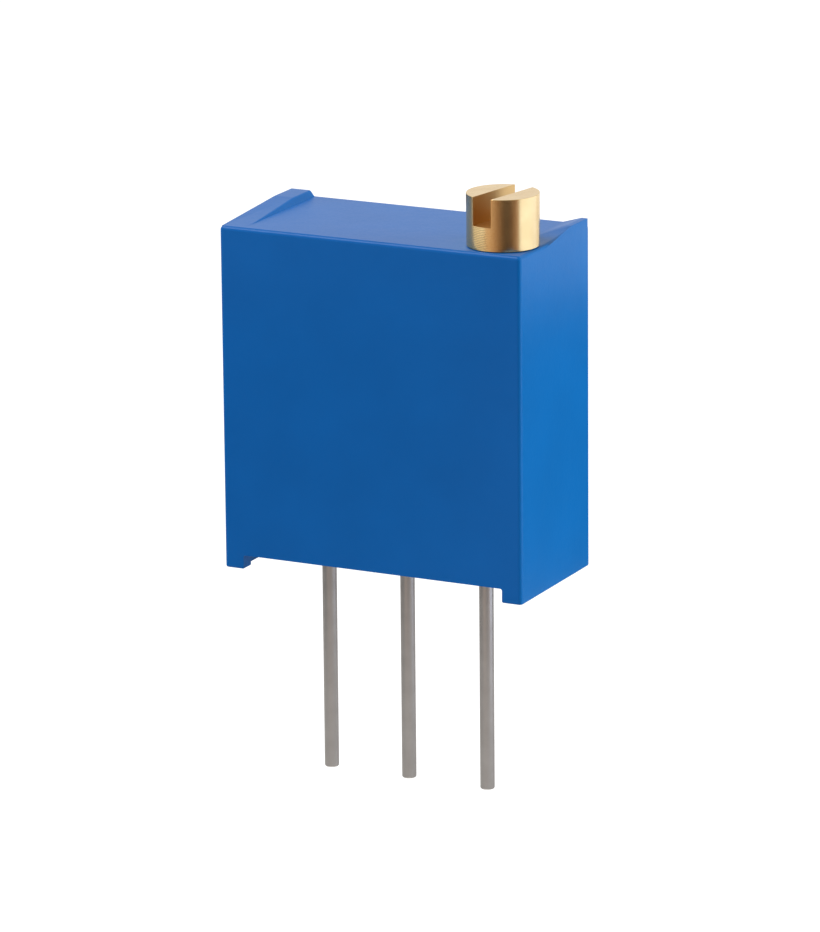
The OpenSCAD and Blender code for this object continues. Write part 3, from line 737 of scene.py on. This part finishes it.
# ------------ adjustment screw
# Turned from one brass bar: a slotted head, a neck with the groove of the O-ring, a collar
# that keeps it under the lip of the housing, a worm thread, and a pivot at its foot. The
# slot is sawn across the head.
screw_low, screw_high = mm("adjustment_screw")
RIM_RADIUS, SLOT_WIDTH, SLOT_DEPTH, SLOT_TURN = 0.07, 0.62, 0.82, -11
NECK_RADIUS, GROOVE_RADIUS, COLLAR_RADIUS, SHAFT_RADIUS, PIVOT_RADIUS = 0.71, 0.44, 0.72, 0.4, 0.3
CREST_RADIUS, WORM_ROOT_RADIUS, WORM_LENGTH = 0.6, 0.335, 3.6
head_top, head_bottom = screw_high.z, top + SLIP
slot_floor, collar_top = head_top - SLOT_DEPTH, roof_under - SLIP
worm_bottom, worm_top = rotor_axis.z - WORM_LENGTH / 2, rotor_axis.z + WORM_LENGTH / 2

head = up_screw(HEAD_RADIUS, head_bottom, head_top, 128)
slot = block(
    (screw_axis.x - SLOT_WIDTH / 2, screw_axis.y - 2 * PAST, slot_floor),
    (screw_axis.x + SLOT_WIDTH / 2, screw_axis.y + 2 * PAST, head_top + PAST),
)
edit(slot)
bpy.ops.transform.rotate(
    value=-math.radians(SLOT_TURN), orient_axis="Z", center_override=tuple(screw_axis)
)
close()
combine(head, "DIFFERENCE", slot)


def off_axis(point):
    """A point's distance from the screw's axis."""
    return (point - screw_axis).xy.length


def off_slot(point):
    """A point's distance from the middle plane of the slot."""
    turn, away = math.radians(SLOT_TURN), point - screw_axis
    return abs(away.x * math.cos(turn) + away.y * math.sin(turn))


# The rim is rounded most, the foot of the head half as much, and the sawn edges least.
inside_rim = HEAD_RADIUS - PLAY
edit(head)
for weight, test in (
    (1, lambda middle, along: middle.z > head_top - NEARLY and off_axis(middle) > inside_rim),
    (0.35, lambda middle, along: middle.z > head_top - NEARLY and off_axis(middle) < inside_rim),
    (0.35, lambda middle, along: abs(along.z) > MOSTLY and middle.z > slot_floor
     and off_slot(middle) < SLOT_WIDTH / 2 + NEARLY),
    (0.5, lambda middle, along: middle.z < head_bottom + NEARLY),
):
    pick("EDGE", test)
    bpy.ops.transform.edge_bevelweight(value=weight)
close()
modify(head, "BEVEL", limit_method="WEIGHT", width=RIM_RADIUS, segments=3)

# The lengths of the collar and its cone, the turner's small chamfers, and how far solids that
# are joined reach into each other.
COLLAR, CONE, EASE, CHAMFER, PIVOT_CHAMFER, OVERLAP = 0.19, 0.23, 0.02, 0.03, 0.05, 0.1
cone_top, cone_foot = collar_top - COLLAR, collar_top - COLLAR - CONE
groove_foot, neck_foot = ring_low.z - SLIP / 2, ring_high.z + PLAY
neck_top, shoulder = head_bottom + OVERLAP, rib_foot + CHAMFER
shank = turned([
    (0, worm_top - PLAY), (SHAFT_RADIUS, worm_top - PLAY), (SHAFT_RADIUS, cone_foot),
    (COLLAR_RADIUS - EASE, cone_top), (COLLAR_RADIUS, cone_top + EASE),
    (COLLAR_RADIUS, collar_top - CHAMFER), (COLLAR_RADIUS - CHAMFER, collar_top),
    (CREST_RADIUS, collar_top), (CREST_RADIUS, groove_foot), (GROOVE_RADIUS, groove_foot),
    (GROOVE_RADIUS, neck_foot), (NECK_RADIUS - EASE, neck_foot),
    (NECK_RADIUS, neck_foot + EASE), (NECK_RADIUS, neck_top), (0, neck_top),
])
pivot = turned([
    (0, screw_low.z), (PIVOT_RADIUS - PIVOT_CHAMFER, screw_low.z),
    (PIVOT_RADIUS, screw_low.z + PIVOT_CHAMFER), (PIVOT_RADIUS, shoulder),
    (SHAFT_RADIUS - CHAMFER, shoulder), (SHAFT_RADIUS, shoulder + CHAMFER),
    (SHAFT_RADIUS, worm_bottom + PLAY), (0, worm_bottom + PLAY),
])

# The thread is wound from the outline of one pitch, cut square at both ends, and tapered
# there by the barrel.
WINDINGS, TAPER, TAPER_RADIUS = 8, 0.3, 0.31
lower_half = [
    (WORM_ROOT_RADIUS, -0.5), (WORM_ROOT_RADIUS, -0.26), (WORM_ROOT_RADIUS + 0.01, -0.245),
    (CREST_RADIUS - 0.012, -0.09), (CREST_RADIUS, -0.075),
]
one_pitch = lower_half + [(radius, -share) for radius, share in reversed(lower_half)]
start = rotor_axis.z - (WINDINGS / 2 + 0.5) * WORM_PITCH
worm = draw([(radius, 0, start + share * WORM_PITCH) for radius, share in one_pitch])
close()
modify(
    worm, "SCREW", axis="Z", screw_offset=WORM_PITCH, iterations=WINDINGS, steps=48,
    render_steps=48, use_merge_vertices=True, merge_threshold=1e-4,
)
edit(worm)
bpy.ops.mesh.remove_doubles(threshold=1e-4)
close()
for z, way in ((worm_bottom, -1), (worm_top, 1)):
    slice_off(worm, (0, 0, z), (0, 0, way))
edit(worm)
bpy.ops.mesh.normals_make_consistent(inside=False)
bpy.ops.transform.translate(value=(screw_axis.x, screw_axis.y, 0))
close()
barrel = turned([
    (0, worm_bottom - OVERLAP), (TAPER_RADIUS, worm_bottom - OVERLAP),
    (TAPER_RADIUS, worm_bottom + NEARLY), (CREST_RADIUS + SLIP, worm_bottom + TAPER),
    (CREST_RADIUS + SLIP, worm_top - TAPER), (TAPER_RADIUS, worm_top - NEARLY),
    (TAPER_RADIUS, worm_top + OVERLAP), (0, worm_top + OVERLAP),
], 48)
combine(worm, "INTERSECT", barrel)
screw = shank
combine(screw, "UNION", pivot, worm, head)

# Turned brass: warm yellow with fine rings from the tool along its sides and over its top,
# and a slightly duller tone where it has been handled. The sawn slot is rougher, and its
# brass is painted darker there as shade in the recess.
turned_brass, tree, place = piece_material("turned_brass")
centred = add_node(tree, "Mapping", {
    "Vector": place, "Location": (-screw_axis.x / 1000, -screw_axis.y / 1000, 0),
})
TOOL_MARKS, SLOT_MASK_MARGIN = 0.00005, 0.008
band_scale = math.pi / 10 / TOOL_MARKS  # a wave of scale 1 has a band every pi / 10
sides = add_node(tree, "TexWave", {
    "Vector": centred, "Scale": band_scale, "Distortion": 1.5, "Detail": 1,
}, wave_type="BANDS", bands_direction="Z")
ends = add_node(tree, "TexWave", {
    "Vector": centred, "Scale": band_scale, "Distortion": 1.0, "Detail": 1,
}, wave_type="RINGS", rings_direction="Z")
marks = add_node(tree, "Math", {
    0: sides.outputs["Fac"], 1: ends.outputs["Fac"],
}, operation="ADD")
handled = add_node(tree, "TexNoise", {"Vector": place, "Scale": 1 / 0.0007, "Detail": 4})
tone = add_node(tree, "Mix", {
    0: handled, 6: colour("D4B279"), 7: colour("E8CC96"),
}, data_type="RGBA")
gloss = add_node(tree, "MapRange", {"Value": handled, "To Min": 0.3, "To Max": 0.2})
lined_up = add_node(tree, "Mapping", {
    "Vector": centred, "Rotation": (0, 0, -math.radians(SLOT_TURN)),
})
spot = add_node(tree, "SeparateXYZ", {0: lined_up})
across = add_node(tree, "Math", {0: spot.outputs["X"]}, operation="ABSOLUTE")
between = add_node(tree, "Math", {
    0: across, 1: (SLOT_WIDTH / 2 + SLOT_MASK_MARGIN) / 1000,
}, operation="LESS_THAN")
above = add_node(tree, "Math", {
    0: spot.outputs["Z"], 1: (slot_floor - SLOT_MASK_MARGIN) / 1000,
}, operation="GREATER_THAN")
sawn_and_painted_shade = add_node(tree, "Math", {0: between, 1: above}, operation="MULTIPLY")
# Painted shade: inside the slot the brass is painted darker for the shade in the recess, and it is
# rougher where it was sawn.
tone = add_node(tree, "Mix", {0: sawn_and_painted_shade, 6: tone, 7: colour("C8A064")}, data_type="RGBA")
gloss = add_node(tree, "MapRange", {"Value": sawn_and_painted_shade, "To Min": gloss, "To Max": 0.36})
relief = add_node(tree, "Bump", {"Height": marks, "Distance": 1.2e-6, "Strength": 0.6})
shader = add_node(tree, "BsdfPrincipled", {
    "Base Color": tone, "Metallic": 1.0, "Roughness": gloss, "Normal": relief,
})
add_node(tree, "OutputMaterial", {"Surface": shader})
finish_piece(
    screw, "adjustment_screw_brass", "adjuster", "brass", turned_brass, "adjustment_screw"
)


# ------------ alumina plate
# The carrier of the resistive element: a chip of 96 % alumina, fired, scribed by laser and
# snapped to size, which leaves its edges a little blunt. It slides between the ribs of the
# housing.
PLATE_EDGE = 0.025
alumina_plate = block(plate_low, plate_high)
round_edges(alumina_plate, PLATE_EDGE, 2, lambda middle, along: True)

# Fired alumina: a dense matt white that is faintly warm, with a fine sintered grain.
fired_alumina, tree, place = piece_material("fired_alumina")
grain = add_node(tree, "TexNoise", {"Vector": place, "Scale": 1 / 0.00004, "Detail": 3})
clouds = add_node(tree, "TexNoise", {"Vector": place, "Scale": 1 / 0.0015, "Detail": 3})
tone = add_node(tree, "Mix", {
    0: clouds, 6: colour("E6E3D9"), 7: colour("F1EFE8"),
}, data_type="RGBA")
gloss = add_node(tree, "MapRange", {"Value": grain, "To Min": 0.5, "To Max": 0.68})
relief = add_node(tree, "Bump", {"Height": grain, "Distance": 3e-6, "Strength": 0.6})
shader = add_node(tree, "BsdfPrincipled", {
    "Base Color": tone, "Roughness": gloss, "IOR": 1.76, "Specular IOR Level": 0.4,
    "Normal": relief,
})
add_node(tree, "OutputMaterial", {"Surface": shader})
finish_piece(alumina_plate, "alumina_plate", "root", "alumina", fired_alumina, "substrate")


# ------------ resistive track
# The track that the fingers run on: a thick film of cermet ink, screen printed on the
# plate as an open ring round the rotor's axis, and fired.
FILM, TRACK_WIDTH, OVERRUN, SCREW_TURNS = 0.02, 0.7, 4.6, 25
film_front = plate_low.y - FILM
track_half = 180 * SCREW_TURNS / TEETH + OVERRUN
track_in, track_out = TRACK_RADIUS - TRACK_WIDTH / 2, TRACK_RADIUS + TRACK_WIDTH / 2
track = sector(track_in, track_out, 0, track_half, film_front, FILM)

# Fired cermet: near black and half matt, with pale specks of metal oxide in the glass.
fired_cermet, tree, place = piece_material("fired_cermet")
specks = add_node(tree, "TexVoronoi", {"Vector": place, "Scale": 1 / 0.00006, "Randomness": 1.0})
near = add_node(tree, "MapRange", {
    "Value": specks, "From Min": 0.05, "From Max": 0.3, "To Min": 1, "To Max": 0,
})
tone = add_node(tree, "Mix", {0: near, 6: colour("1F2124"), 7: colour("43464A")}, data_type="RGBA")
gloss = add_node(tree, "MapRange", {"Value": near, "To Min": 0.42, "To Max": 0.6})
relief = add_node(tree, "Bump", {"Height": near, "Distance": 2e-6, "Strength": 0.5})
shader = add_node(tree, "BsdfPrincipled", {
    "Base Color": tone, "Roughness": gloss, "IOR": 1.6, "Normal": relief,
})
add_node(tree, "OutputMaterial", {"Surface": shader})
finish_piece(track, "cermet_track", "root", "cermet_film", fired_cermet, "resistive_track")


# ------------ conductors
# Silver palladium ink, screen printed and fired like the track: a round spot on the
# rotor's axis for the tongue, an arc at each end of the track, and a strip from each of
# them to the pad of its lead.
LEAD_PITCH, SPOT_RADIUS, END_ARC, STRIP_WIDTH = 2.54, 0.75, 11, 0.7
PAD_WIDTH, PAD_TOP, PAD_CORNER = 0.9, 2.6, 0.08
pad_foot = mm("base_plate")[1].z

# Fired silver palladium: dull light grey metal with the fine weave of the printing screen.
printed_silver, tree, place = piece_material("printed_silver_palladium")
SCREEN_WIRE = 0.00006
weave = [
    add_node(tree, "TexWave", {
        "Vector": place, "Scale": math.pi / 10 / SCREEN_WIRE, "Distortion": 0.5,
    }, wave_type="BANDS", bands_direction=way).outputs["Fac"]
    for way in ("X", "Z")
]
mesh_print = add_node(tree, "Math", {0: weave[0], 1: weave[1]}, operation="MULTIPLY")
bloom = add_node(tree, "TexNoise", {"Vector": place, "Scale": 1 / 0.0004, "Detail": 4})
tone = add_node(tree, "Mix", {
    0: bloom, 6: colour("A9A9A4"), 7: colour("CFCFCA"),
}, data_type="RGBA")
gloss = add_node(tree, "MapRange", {"Value": bloom, "To Min": 0.38, "To Max": 0.55})
relief = add_node(tree, "Bump", {"Height": mesh_print, "Distance": 2e-6, "Strength": 0.5})
shader = add_node(tree, "BsdfPrincipled", {
    "Base Color": tone, "Metallic": 0.9, "Roughness": gloss, "Normal": relief,
})
add_node(tree, "OutputMaterial", {"Surface": shader})

w = STRIP_WIDTH / 2
bend = track_half + END_ARC / 2
bend_x = TRACK_RADIUS * math.sin(math.radians(bend))
foot_z = rotor_axis.z + TRACK_RADIUS * math.cos(math.radians(bend))
for name, node, side in (
    ("collector_film", "collector_conductor", 0),
    ("left_end_film", "left_conductor", -1),
    ("right_end_film", "right_conductor", 1),
):
    pad_x, strip_x = side * LEAD_PITCH, rotor_axis.x + side * bend_x
    rise = [(strip_x + w, rotor_axis.z), (strip_x - w, rotor_axis.z)] if side == 0 else []
    strip = outline(
        [(pad_x - w, pad_foot), (pad_x + w, pad_foot), (pad_x + w, PAD_TOP), (strip_x + w, foot_z)]
        + rise + [(strip_x - w, foot_z), (pad_x - w, PAD_TOP)],
        film_front, FILM,
    )
    pad = block(
        (pad_x - PAD_WIDTH / 2, film_front, pad_foot),
        (pad_x + PAD_WIDTH / 2, plate_low.y, PAD_TOP),
    )
    round_edges(pad, PAD_CORNER, 3, lambda middle, along: abs(along.y) > MOSTLY)
    combine(strip, "UNION", pad)
    if side == 0:
        spot = drum(SPOT_RADIUS, rotor_axis.x, (film_front, plate_low.y), rotor_axis.z)
        combine(strip, "UNION", spot)
    else:
        under_track = sector(track_in, track_out, 0, track_half, film_front - FILM, 3 * FILM)
        combine(strip, "DIFFERENCE", under_track)
        end_arc = sector(track_in, track_out, side * bend, END_ARC / 2, film_front, FILM)
        combine(strip, "UNION", end_arc)
    finish_piece(strip, name, "root", "silver_palladium_film", printed_silver, node)


# ------------ leads
# Three legs of tinned copper wire, cut to length and pressed flat at their upper ends,
# where they lie on the pads of the plate.
WIRE_CHAMFER, BLADE_WIDTH, BLADE_THICKNESS, BLADE_TOP, BLADE_FOOT = 0.05, 0.46, 0.3, 2.25, 0.47
BLADE_EDGE, BLADE_END, SHOULDER = 0.09, 0.03, 0.1
blade_front = film_front - BLADE_THICKNESS
tip = mm("centre_lead")[0].z
wire = drum(LEAD_RADIUS, 0, 0, (tip, BLADE_FOOT), 40)
round_edges(wire, WIRE_CHAMFER, 3, lambda middle, along: middle.z < tip + NEARLY)
round_edges(wire, SHOULDER, 3, lambda middle, along: middle.z > BLADE_FOOT - NEARLY)
blade = block(
    (-BLADE_WIDTH / 2, blade_front, BLADE_FOOT - 2 * SHOULDER),
    (BLADE_WIDTH / 2, film_front, BLADE_TOP),
)
round_edges(
    blade, BLADE_EDGE, 4,
    lambda middle, along: abs(along.z) > MOSTLY or middle.z < BLADE_FOOT - 2 * SHOULDER + NEARLY,
)
round_edges(blade, BLADE_END, 2, lambda middle, along: middle.z > BLADE_TOP - NEARLY)
combine(wire, "UNION", blade)

# Hot tinned wire: a grey, half matt metal with faint drawing lines along it and duller
# patches where the tin has aged.
tinned_wire, tree, place = piece_material("tinned_wire")
lengthways = add_node(tree, "Mapping", {"Vector": place, "Scale": (1, 1, 0.05)})
drawn = add_node(tree, "TexNoise", {"Vector": lengthways, "Scale": 1 / 0.00006, "Detail": 3})
aged = add_node(tree, "TexNoise", {"Vector": place, "Scale": 1 / 0.0006, "Detail": 4})
tone = add_node(tree, "Mix", {0: aged, 6: colour("B5AFAA"), 7: colour("CDC8C3")}, data_type="RGBA")
gloss = add_node(tree, "MapRange", {"Value": aged, "To Min": 0.5, "To Max": 0.36})
relief = add_node(tree, "Bump", {"Height": drawn, "Distance": 2e-6, "Strength": 0.5})
shader = add_node(tree, "BsdfPrincipled", {
    "Base Color": tone, "Metallic": 1.0, "Roughness": gloss, "Normal": relief,
})
add_node(tree, "OutputMaterial", {"Surface": shader})

lead_places = {"left": -LEAD_PITCH, "centre": 0, "right": LEAD_PITCH}
for name, x in lead_places.items():
    node = name + "_lead"
    finish_piece(copy_at(wire, x), node + "_wire", "root", "tinned_copper", tinned_wire, node)
bpy.data.objects.remove(wire)


# ------------ solder
# A low mound of solder over the flat end of each lead, melted on by hand, so its surface
# is drawn tight between the lead and the edges of the pad.
solder_low, solder_high = mm("centre_solder")
reach = solder_high.y - solder_low.y
mound = block(solder_low, solder_high + Vector((0, reach, 0)))
modify(mound, "SUBSURF", levels=4, render_levels=4)
edit(mound)
SWELL = (1.2, 1.2, 1.3)  # gives back the size that the rounding takes
bpy.ops.transform.resize(
    value=SWELL, center_override=(0, solder_high.y, (solder_low.z + solder_high.z) / 2)
)
close()
slice_off(mound, (0, film_front, 0), (0, 1, 0))
slice_off(mound, (0, 0, solder_low.z), (0, 0, -1))
way_in = block(
    (-BLADE_WIDTH / 2, blade_front, solder_low.z - PAST),
    (BLADE_WIDTH / 2, film_front + PAST, BLADE_TOP),
)
round_edges(way_in, BLADE_EDGE, 4, lambda middle, along: abs(along.z) > MOSTLY)
combine(mound, "DIFFERENCE", way_in)

# Solder that has set by itself: bright grey, with a patchy frost where it cooled slowly.
bright_solder, tree, place = piece_material("bright_solder")
frost = add_node(tree, "TexNoise", {"Vector": place, "Scale": 1 / 0.00025, "Detail": 5})
tone = add_node(tree, "Mix", {
    0: frost, 6: colour("A2A2A2"), 7: colour("C9C9C6"),
}, data_type="RGBA")
gloss = add_node(tree, "MapRange", {"Value": frost, "To Min": 0.18, "To Max": 0.4})
relief = add_node(tree, "Bump", {"Height": frost, "Distance": 6e-6, "Strength": 0.5})
shader = add_node(tree, "BsdfPrincipled", {
    "Base Color": tone, "Metallic": 1.0, "Roughness": gloss, "Normal": relief,
})
add_node(tree, "OutputMaterial", {"Surface": shader})

for name, x in lead_places.items():
    node = name + "_solder"
    finish_piece(
        copy_at(mound, x), node + "_mound", "root", "solder", bright_solder, node, crease=50
    )
bpy.data.objects.remove(mound)


# ------------ base plate
# The inner lid, moulded in a darker blue PBT. The alumina plate and the pivot of the screw
# stand in it, and the three leads pass through it.
base_low, base_high = mm("base_plate")
PLATE_GROOVE, PIVOT_FLOOR, LID_EDGE = 0.25, 1.09, 0.05
base = block(base_low, base_high)
round_edges(base, LID_EDGE, 2, lambda middle, along: True)
groove = block(
    (plate_low.x - SLIP, plate_low.y - SLIP, base_high.z - PLATE_GROOVE),
    (plate_high.x + SLIP, plate_high.y + SLIP, base_high.z + PAST),
)
ways_through = [
    block(
        (x - BLADE_WIDTH / 2 - SLIP, blade_front - SLIP, base_low.z - PAST),
        (x + BLADE_WIDTH / 2 + SLIP, film_front + SLIP, base_high.z + PAST),
    )
    for x in lead_places.values()
]
socket = up_screw(PIVOT_RADIUS + 2 * SLIP, PIVOT_FLOOR, base_high.z + PAST, 48)
combine(base, "DIFFERENCE", groove, *ways_through, socket)

# The same PBT with more black in it: plainer and less polished, as nobody sees it.
dark_pbt, tree, place = piece_material("dark_moulded_pbt")
clouds = add_node(tree, "TexNoise", {"Vector": place, "Scale": 1 / 0.0015, "Detail": 3})
tone = add_node(tree, "Mix", {
    0: clouds, 6: colour("183A66"), 7: colour("20467A"),
}, data_type="RGBA")
grain = add_node(tree, "TexNoise", {"Vector": place, "Scale": 1 / 0.00009, "Detail": 2})
gloss = add_node(tree, "MapRange", {"Value": grain, "To Min": 0.45, "To Max": 0.6})
relief = add_node(tree, "Bump", {"Height": grain, "Distance": 4e-6, "Strength": 0.6})
shader = add_node(tree, "BsdfPrincipled", {
    "Base Color": tone, "Roughness": gloss, "IOR": 1.5, "Normal": relief,
})
add_node(tree, "OutputMaterial", {"Surface": shader})
finish_piece(base, "base_lid", "root", "base_pbt", dark_pbt, "base_plate")


# ------------ resin seal
# Epoxy poured into the underside and cured: it creeps up round the wires and against the
# walls before it sets, and leaves a skin that is smooth but not quite level.
resin_low, resin_high = mm("resin_seal")
CREEP, CREEP_WIDTH, MENISCUS, SUNK, RESIN_CORNER = 0.09, 0.34, 0.05, 0.3, 0.1
resin = block(resin_low, resin_high)
edit(resin)
pick("FACE", lambda middle, normal: normal.z < -MOSTLY)
for inset, rise in ((0.12, 0), (0.14, 0.035), (0.25, 0.02)):
    bpy.ops.mesh.inset(thickness=inset)
    bpy.ops.transform.translate(value=(0, 0, rise))
close()
round_edges(
    resin, RESIN_CORNER, 3,
    lambda middle, along: abs(along.z) > MOSTLY and abs(middle.x) > resin_high.x - NEARLY,
)

# The collar of resin round one wire: a drum, drawn in and down in steps.
collar_foot = resin_low.z + MENISCUS
collar = drum(LEAD_RADIUS + CREEP_WIDTH, 0, 0, (collar_foot, collar_foot + SUNK), 48)
edit(collar)
pick("FACE", lambda middle, normal: normal.z < -MOSTLY)
radius, depth = LEAD_RADIUS + CREEP_WIDTH, 0
for share, fall in ((0.72, 0.05), (0.48, 0.2), (0.26, 0.45), (0.1, 0.75), (0.02, 1.0)):
    scale = (LEAD_RADIUS + CREEP_WIDTH * share) / radius
    extrude((0, 0, depth - CREEP * fall))
    bpy.ops.transform.resize(value=(scale, scale, 1), center_override=(0, 0, 0))
    radius, depth = radius * scale, CREEP * fall
close()
for x in lead_places.values():
    combine(resin, "UNION", copy_at(collar, x))
bpy.data.objects.remove(collar)

# Cured epoxy: a glossy, cloudy olive brown that is slightly see-through at its thin edges,
# with small pits where air escaped.
cured_epoxy, tree, place = piece_material("cured_epoxy")
clouds = add_node(tree, "TexNoise", {"Vector": place, "Scale": 1 / 0.0012, "Detail": 5})
tone = add_node(tree, "Mix", {
    0: clouds, 6: colour("3E3E30"), 7: colour("58584A"),
}, data_type="RGBA")
pits = add_node(tree, "TexVoronoi", {"Vector": place, "Scale": 1 / 0.0005})
pit = add_node(tree, "MapRange", {
    "Value": pits, "From Min": 0.08, "From Max": 0.2, "To Min": 0, "To Max": 1,
})
swirl = add_node(tree, "Math", {0: clouds, 1: 2.0, 2: pit}, operation="MULTIPLY_ADD")
relief = add_node(tree, "Bump", {"Height": swirl, "Distance": 1.2e-5, "Strength": 0.5})
gloss = add_node(tree, "MapRange", {"Value": clouds, "To Min": 0.12, "To Max": 0.26})
shader = add_node(tree, "BsdfPrincipled", {
    "Base Color": tone, "Roughness": gloss, "IOR": 1.55, "Subsurface Weight": 0.1,
    "Subsurface Radius": (1, 0.8, 0.4), "Subsurface Scale": 0.0002, "Normal": relief,
})
add_node(tree, "OutputMaterial", {"Surface": shader})
finish_piece(resin, "resin_fill", "root", "epoxy_resin", cured_epoxy, "resin_seal", crease=40)
